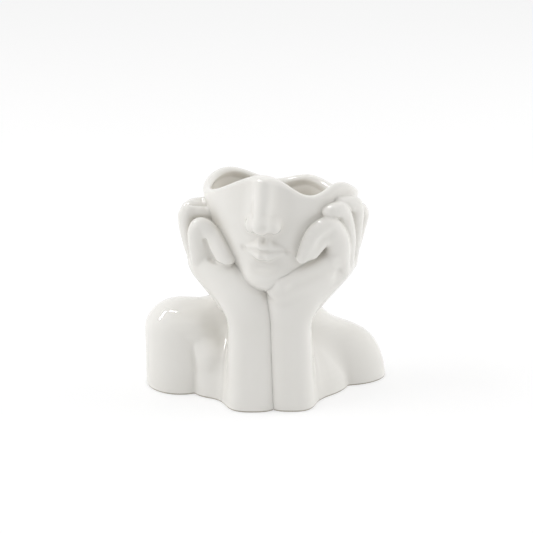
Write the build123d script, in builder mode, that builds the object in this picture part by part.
"""Face vase: a glazed ceramic bust whose open head is the flower vessel.

The figure is put together from separate slip castings, stuck to each other with slip before the
glaze firing: the head bowl, the hollow bust with its neck, a floor plate, two forearms and two hands.
Lengths are millimetres. +Z is up, the figure faces -Y, and "right" and "left" are the figure's own.
"""
from math import cos, radians, sin
import os

from build123d import *

# Driving dimensions

wall = 5.0  # cast wall of the bowl and of the bust
joint_gap = 0.15  # slip line between two castings
cut_margin = 1.0  # how far a cutting form runs past the face it opens

# Head bowl: an upright axis, turned about it towards the figure's right
head_x, head_y = 10.0, 9.0
head_turn = 13.0
chin_height = 89.0
bowl_floor_rise = 24.0  # inside floor above the chin
# rise above the chin, half width, reach forward and reach back from the axis
head_sections = [
    (0.0, 7.0, 43.0, -30.0),
    (3.5, 15.0, 48.0, -20.0),
    (10.0, 25.0, 50.5, -2.0),
    (21.0, 38.0, 50.5, 22.0),
    (36.0, 47.5, 49.5, 40.0),
    (54.0, 54.5, 49.0, 48.0),
    (84.0, 56.0, 49.0, 49.5),
]
# rim: angles from the face, positive to the figure's left, and the rises above the chin there
rim_angles = (0, 16, 31, 44, 61, 80, 105, 140, 165, 199, 238, 270, 290, 315, 340)
rim_rises = (79.5, 74.5, 66.7, 66.0, 71.5, 66.0, 57.0, 53.0, 57.0, 53.0, 64.2, 62.0, 60.5, 66.0, 75.8)
trim_inner_radius = 20.0  # the wavy trimming surface runs from here, inside the bowl,
trim_outer_radius = 80.0  # to here, outside the nose

# Nose: rise above the chin, half width and stand-off from the face
nose_sections = [
    (42.0, 9.0, 8.0),
    (46.0, 11.0, 15.0),
    (52.0, 9.0, 15.5),
    (64.0, 6.5, 10.0),
    (82.0, 6.5, 5.0),
]
# Lips and chin boss: rise, half width, half height and stand-off
face_swells = [
    (32.0, 15.0, 4.0, 4.5),
    (25.5, 13.0, 4.5, 5.0),
    (9.0, 13.0, 8.0, 3.0),
]

# Neck and the spigot that drops into it from the bowl
neck_x, neck_y = 9.0, 19.0
neck_half_width = 22.0
neck_half_depth = 20.5
neck_root = 40.0  # height inside the torso where the neck column starts
neck_rise = 32.0  # above the chin, inside the head
spigot_drop = 3.0  # end of the spigot below the chin

# Bust: torso at the underside, then by height, as centre x, centre y, half width and half depth
torso_foot = (1.0, 9.0, 61.5, 41.5)
torso_sections = [
    (12.0, -1.0, 9.5, 60.0, 39.5),
    (25.0, -4.0, 11.0, 57.3, 35.5),
    (36.0, -4.5, 13.0, 52.5, 31.5),
    (45.0, -4.0, 14.5, 46.0, 28.5),
    (54.0, 0.0, 16.5, 37.5, 26.0),
    (63.0, 5.0, 18.0, 29.5, 23.5),
    (72.0, 8.5, 19.0, 24.0, 21.5),
]
# the raised right shoulder and its arm, a round post with a domed top
right_arm_overlap = 24.5  # how far the arm runs into the torso at the foot
right_arm_y = 9.8
right_arm_radius = 26.0
right_shoulder_height = 64.4
right_shoulder_crown = 22.0  # height of the domed part
# the slope from the raised shoulder up to the neck
slope_start = (-46.0, 10.0, 44.5)
slope_end = (-12.0, 18.0, 56.0)
slope_radius = 18.2
# the dropped left shoulder and its arm: height, centre x, centre y, half width and half depth
left_arm_foot = (55.0, 22.5, 34.3, 22.8)
left_arm_sections = [
    (13.0, 53.5, 22.5, 33.0, 22.3),
    (22.0, 51.5, 22.0, 31.8, 21.5),
    (29.0, 49.5, 21.5, 30.2, 20.5),
    (35.0, 46.5, 21.0, 28.2, 19.0),
    (39.5, 43.0, 20.5, 25.0, 17.5),
    (44.5, 33.0, 19.5, 17.5, 15.0),
    (51.0, 24.0, 19.0, 11.0, 12.0),
]

# Floor plate, let into the underside of the bust
plate_thickness = 5.0
vent_radius = 4.0  # lets air out of the closed bust in the kiln
vent_x, vent_y = 12.0, 30.0

# Forearms: centre x, centre y, half width and half depth at the foot, below the wrist and at the wrist
seam_x = 2.8  # the seam between the forearms, at the foot
seam_lean = 3.4  # degrees towards the figure's right
wrist_drop = 27.0  # wrist joint below the chin
forearm_taper_length = 20.0
right_forearm_sections = [(-11.5, -28.5, 17.5, 18.4), (-13.2, -27.0, 13.9, 15.5), (-13.6, -26.0, 13.3, 15.0)]
left_forearm_sections = [(17.5, -28.0, 17.3, 17.6), (16.2, -27.0, 16.0, 15.8), (15.4, -26.0, 15.8, 15.0)]
tenon_half_width = 6.0
tenon_half_depth = 7.0
tenon_length = 8.0

# Palms: rise above the wrist, centre x, centre y, half length, half thickness, and their turns
right_palm = [
    (0.0, -13.6, -26.0, 13.3, 15.0),
    (12.0, -16.5, -26.0, 15.5, 15.0),
    (18.0, -18.5, -25.0, 18.5, 14.8),
    (22.0, -21.0, -23.0, 21.5, 14.5),
    (30.0, -29.5, -18.0, 24.5, 13.5),
    (39.0, -37.0, -13.0, 22.5, 12.0),
    (46.0, -41.0, -9.0, 16.0, 9.0),
]
right_palm_turns = (0, -10, -17, -25, -32, -36, -38)
left_palm = [
    (0.0, 15.4, -26.0, 15.8, 15.0),
    (12.0, 18.0, -26.0, 18.5, 15.0),
    (18.0, 21.0, -25.3, 21.5, 14.8),
    (22.0, 24.5, -24.0, 25.6, 14.5),
    (30.0, 32.5, -21.0, 25.0, 13.5),
    (39.0, 41.0, -18.0, 23.0, 12.0),
    (46.0, 46.5, -15.0, 16.0, 9.0),
]
left_palm_turns = (0, 10, 16, 22, 28, 32, 34)
# Fingers: places along each one from the knuckle to the tip, with heights above the chin
right_fingers = {
    "index": [(-45.5, -12.5, 6.0), (-48.3, -17.2, 30.0), (-46.6, -18.0, 38.6), (-41.5, -18.5, 38.0),
              (-36.5, -20.0, 32.8), (-26.2, -28.0, 18.0)],
    "middle": [(-47.5, -7.5, 9.0), (-53.0, -8.5, 27.2), (-55.6, -7.0, 43.0), (-50.3, -5.0, 44.0),
               (-39.3, -3.0, 43.7)],
    "ring": [(-49.5, 1.0, 12.0), (-54.5, 0.5, 28.7), (-55.0, 2.0, 43.0), (-50.0, 4.0, 45.6),
             (-39.5, 5.0, 46.3)],
    "little": [(-50.0, 9.0, 13.0), (-54.0, 10.0, 28.6), (-53.5, 11.0, 42.0), (-49.0, 13.0, 44.7),
               (-41.0, 14.0, 46.0)],
}
left_fingers = {
    "index": [(51.5, -18.0, 6.0), (50.4, -29.0, 32.4), (44.1, -36.0, 45.5), (37.9, -39.5, 45.5),
              (31.7, -41.5, 41.0), (23.9, -42.2, 24.2)],
    "middle": [(54.5, -11.5, 7.0), (55.3, -22.0, 32.7), (51.2, -30.5, 52.6), (43.2, -36.3, 54.1),
               (37.5, -37.0, 50.0)],
    "ring": [(57.6, -5.0, 9.0), (60.3, -13.0, 34.5), (60.5, -19.5, 52.9), (55.0, -26.0, 57.0),
             (47.0, -32.0, 58.0)],
    "little": [(57.8, 3.5, 9.0), (62.8, -2.0, 31.0), (65.0, -7.0, 45.5), (58.0, -14.0, 50.0),
               (52.0, -20.0, 50.0)],
}
knuckle_radius = 6.3
tip_radius = 4.6
back_radius = 7.4  # of the ridges on the back of the hand, from the wrist to each knuckle
back_share = 0.35  # how far from the wrist to the knuckle they start
# what each hand closes round: centre, with its height above the chin, and half sizes
right_fist = ((-43.0, -2.0, 25.0), (9.0, 14.0, 18.0))
left_fist = ((50.0, -16.0, 28.0), (10.0, 15.0, 19.0))
# the soft inner sides of each bent index finger: two rods, with their heights above the chin
right_pads = [((-42.0, -16.5, 34.0), (-29.5, -25.5, 17.0)), ((-44.5, -15.5, 33.0), (-43.5, -12.5, 10.0))]
left_pads = [((41.5, -36.0, 39.0), (30.5, -40.0, 25.0)), ((44.0, -34.0, 38.0), (46.0, -26.0, 17.0))]
pad_radius = 5.0

# Worked out from the sizes above

wrist_height = chin_height - wrist_drop
right_arm_x = torso_foot[0] - torso_foot[2] - right_arm_radius + right_arm_overlap
face_dir = Vector(-sin(radians(head_turn)), -cos(radians(head_turn)), 0)
head_left = Vector(cos(radians(head_turn)), -sin(radians(head_turn)), 0)
up = Vector(0, 0, 1)


def head_plane(rise, forward):
    """A level plane at a rise above the chin, with its x axis across the face."""
    origin = Vector(head_x, head_y, chin_height + rise) + face_dir * forward
    return Plane(origin, x_dir=head_left, z_dir=up)


def face_front(rise):
    """How far the plain face reaches forward of the axis at a rise above the chin."""
    for low, high in zip(head_sections, head_sections[1:]):
        if rise <= high[0]:
            share = (rise - low[0]) / (high[0] - low[0])
            return low[2] + share * (high[2] - low[2])


def oval(half_x, half_y):
    """An ellipse whose outline always starts on its x axis, so that a loft stays untwisted."""
    with BuildSketch() as outline:
        Circle(1)
        scale(by=(half_x, half_y, 1))
    return outline.sketch


def head_form(grow):
    """The head without its features as one closed solid, each section grown all round."""
    with BuildPart() as form:
        for rise, half_width, front, back in head_sections:
            with BuildSketch(head_plane(rise, (front - back) / 2)):
                add(oval(half_width + grow, (front + back) / 2 + grow))
        loft()
    return form.part


def rim_ring(radius):
    """The rim's wave drawn on an upright cylinder about the head's axis."""
    points = []
    for angle, rise in zip(rim_angles, rim_rises):
        forward = face_dir * radius * cos(radians(angle))
        across = head_left * radius * sin(radians(angle))
        points.append(Vector(head_x, head_y, chin_height + rise) + forward + across)
    with BuildLine() as ring:
        Spline(*points, periodic=True)
    return ring.edge()


def rim_trim():
    """All that is cut away above the wavy rim."""
    wave = Face.make_surface_from_curves(rim_ring(trim_inner_radius), rim_ring(trim_outer_radius))
    return Solid.extrude(wave, up * head_sections[-1][0])


def column(x, y, half_width, half_depth, low, high):
    """An upright elliptical column."""
    with BuildPart() as post:
        with BuildSketch(Plane((x, y, low))):
            Ellipse(half_width, half_depth)
        extrude(amount=high - low)
    return post.part


def shoulder(x, y, radius, height, crown):
    """An upper-arm stump with a domed shoulder, run past the underside."""
    with BuildPart() as stump:
        with BuildSketch(Plane((x, y, 0), x_dir=(1, 0, 0), z_dir=(0, -1, 0))):
            with BuildLine():
                spring = height - crown
                brow = (radius * cos(radians(45)), spring + crown * sin(radians(45)))
                dome = Spline((radius, spring), brow, (0, height), tangents=[(0, 1), (-1, 0)])
                Polyline(dome @ 1, (0, -cut_margin), (radius, -cut_margin), dome @ 0)
            make_face()
        revolve(axis=Axis((x, y, 0), (0, 0, 1)))
    return stump.part


def trunk(foot, sections, grow):
    """A loft from below the underside up through level ovals, grown all round."""
    x, y, half_width, half_depth = foot
    with BuildPart() as form:
        with BuildSketch(Plane((x, y, -cut_margin))):
            add(oval(half_width + grow, half_depth + grow))
        for height, x, y, half_width, half_depth in sections:
            with BuildSketch(Plane((x, y, height + grow))):
                add(oval(half_width + grow, half_depth + grow))
        loft()
    return form.part


def bust_form(grow):
    """Torso, neck and shoulders as one solid, grown all round and run past the underside."""
    with BuildPart() as form:
        add(trunk(torso_foot, torso_sections, grow))
        add(column(neck_x, neck_y, neck_half_width + grow, neck_half_depth + grow,
                   neck_root, chin_height + neck_rise))
        add(shoulder(right_arm_x, right_arm_y, right_arm_radius + grow,
                     right_shoulder_height + grow, right_shoulder_crown + grow))
        add(bone(slope_start, slope_end, slope_radius + grow))
        add(trunk(left_arm_foot, left_arm_sections, grow))
    return form.part


def ellipsoid(plane, half_sizes):
    """An ellipsoid about a plane's origin, along that plane's axes."""
    with BuildPart() as bump:
        Sphere(1)
        scale(by=half_sizes)
    return bump.part.moved(Location(plane))


def bone(start, end, radius):
    """A round-ended rod between two joint centres."""
    along = Vector(end) - Vector(start)
    with BuildPart() as rod:
        with BuildSketch(Plane.XZ):
            with BuildLine():
                tail = CenterArc((0, 0), radius, -90, 90)
                Line(tail @ 1, (radius, along.length))
                tip = CenterArc((0, along.length), radius, 0, 90)
                Line(tip @ 1, tail @ 0)
            make_face()
        revolve(axis=Axis.Z)
    return rod.part.moved(Location(Plane(Vector(start), z_dir=along)))


def above_chin(point):
    """A finger joint's place in the part's frame."""
    x, y, rise = point
    return Vector(x, y, chin_height + rise)


def hand_form(palm, turns, fingers, fist, pads):
    """Palm, curled fingers and closed fist as one solid, before it is fitted to its neighbours."""
    with BuildPart() as hand:
        for (rise, x, y, half_length, half_thickness), turn in zip(palm, turns):
            across = (cos(radians(turn)), sin(radians(turn)), 0)
            with BuildSketch(Plane((x, y, wrist_height + joint_gap + rise), x_dir=across, z_dir=up)):
                add(oval(half_length, half_thickness))
        loft()
        wrist = Vector(palm[0][1], palm[0][2], wrist_height)
        for joints in fingers.values():
            centres = [above_chin(joint) for joint in joints]
            add(bone(wrist + (centres[0] - wrist) * back_share, centres[0], back_radius))
            taper = (knuckle_radius - tip_radius) / (len(centres) - 2)
            for place, (start, end) in enumerate(zip(centres, centres[1:])):
                add(bone(start, end, knuckle_radius - place * taper))
        for start, end in pads:
            add(bone(above_chin(start), above_chin(end), pad_radius))
        fist_centre, fist_half_sizes = fist
        add(ellipsoid(Plane(above_chin(fist_centre)), fist_half_sizes))
    return hand.part


def forearm_form(sections):
    """A forearm from the foot to the wrist, with the peg for its hand."""
    heights = (0, wrist_height - forearm_taper_length, wrist_height)
    with BuildPart() as forearm:
        for height, (x, y, half_width, half_depth) in zip(heights, sections):
            with BuildSketch(Plane((x, y, height))):
                add(oval(half_width, half_depth))
        loft()
        add(tenon_form(sections[-1], 0))
    return forearm.part


def tenon_form(wrist_section, grow):
    """The peg on a wrist, grown for its socket."""
    x, y = wrist_section[:2]
    return column(x, y, tenon_half_width + grow, tenon_half_depth + grow,
                  wrist_height - cut_margin, wrist_height + tenon_length + grow)


def seam_plane(side):
    """The leaning plane that one forearm and hand end at; side is +1 for the figure's left."""
    outward = Vector(cos(radians(seam_lean)), 0, sin(radians(seam_lean))) * side
    return Plane(Vector(seam_x, 0, 0) + outward * (joint_gap / 2), z_dir=outward)


os.makedirs("parts", exist_ok=True)

head_clearance = head_form(joint_gap)
bust_clearance = bust_form(joint_gap)
bust_hollow = bust_form(-wall)

# Head bowl with nose, lips and chin, its wavy rim and the spigot under it

with BuildPart() as bowl_hollow:
    add(head_form(-wall))
    split(bisect_by=Plane.XY.offset(chin_height + bowl_floor_rise), keep=Keep.TOP)

with BuildPart() as face_vessel:
    add(head_form(0))
    for rise, half_width, stand_off in nose_sections:
        with BuildSketch(head_plane(rise, face_front(rise))):
            add(oval(half_width, stand_off))
    loft()
    for rise, half_width, half_height, stand_off in face_swells:
        add(ellipsoid(head_plane(rise, face_front(rise)), (half_width, stand_off, half_height)))
    add(column(neck_x, neck_y, neck_half_width - wall - joint_gap, neck_half_depth - wall - joint_gap,
               chin_height - spigot_drop, chin_height + bowl_floor_rise))
    add(bowl_hollow.part, mode=Mode.SUBTRACT)
    add(rim_trim(), mode=Mode.SUBTRACT)

face_vessel.part.label = "face_vessel"
export_step(face_vessel.part, "parts/face_vessel.step")

# Hollow bust, open below and at the neck

with BuildPart() as bust_shell:
    add(bust_form(0))
    add(bust_hollow, mode=Mode.SUBTRACT)
    add(head_clearance, mode=Mode.SUBTRACT)
    split(bisect_by=Plane.XY, keep=Keep.TOP)

bust_shell.part.label = "bust_shell"
export_step(bust_shell.part, "parts/bust_shell.step")

# Floor plate, let into the underside of the bust

with BuildPart() as base_plate:
    add(bust_form(-wall - joint_gap))
    split(bisect_by=Plane.XY, keep=Keep.TOP)
    split(bisect_by=Plane.XY.offset(plate_thickness), keep=Keep.BOTTOM)
    with Locations((vent_x, vent_y, plate_thickness)):
        Hole(vent_radius)

base_plate.part.label = "base_plate"
export_step(base_plate.part, "parts/base_plate.step")

# Forearms, side by side in front of the chest, and hands on the wrist pegs, closed against the cheeks

right_hand_sizes = (right_palm, right_palm_turns, right_fingers, right_fist, right_pads)
left_hand_sizes = (left_palm, left_palm_turns, left_fingers, left_fist, left_pads)
sides = {
    "right": (-1, right_forearm_sections, right_hand_sizes),
    "left": (1, left_forearm_sections, left_hand_sizes),
}
for side_name, (side, forearm_sections, hand_sizes) in sides.items():
    with BuildPart() as forearm:
        add(forearm_form(forearm_sections))
        add(bust_clearance, mode=Mode.SUBTRACT)
        split(bisect_by=seam_plane(side), keep=Keep.TOP)

    forearm.part.label = f"{side_name}_forearm"
    export_step(forearm.part, f"parts/{side_name}_forearm.step")

    with BuildPart() as hand:
        add(hand_form(*hand_sizes))
        add(head_clearance, mode=Mode.SUBTRACT)
        add(bust_clearance, mode=Mode.SUBTRACT)
        add(tenon_form(forearm_sections[-1], joint_gap), mode=Mode.SUBTRACT)
        split(bisect_by=seam_plane(side), keep=Keep.TOP)

    hand.part.label = f"{side_name}_hand"
    export_step(hand.part, f"parts/{side_name}_hand.step")
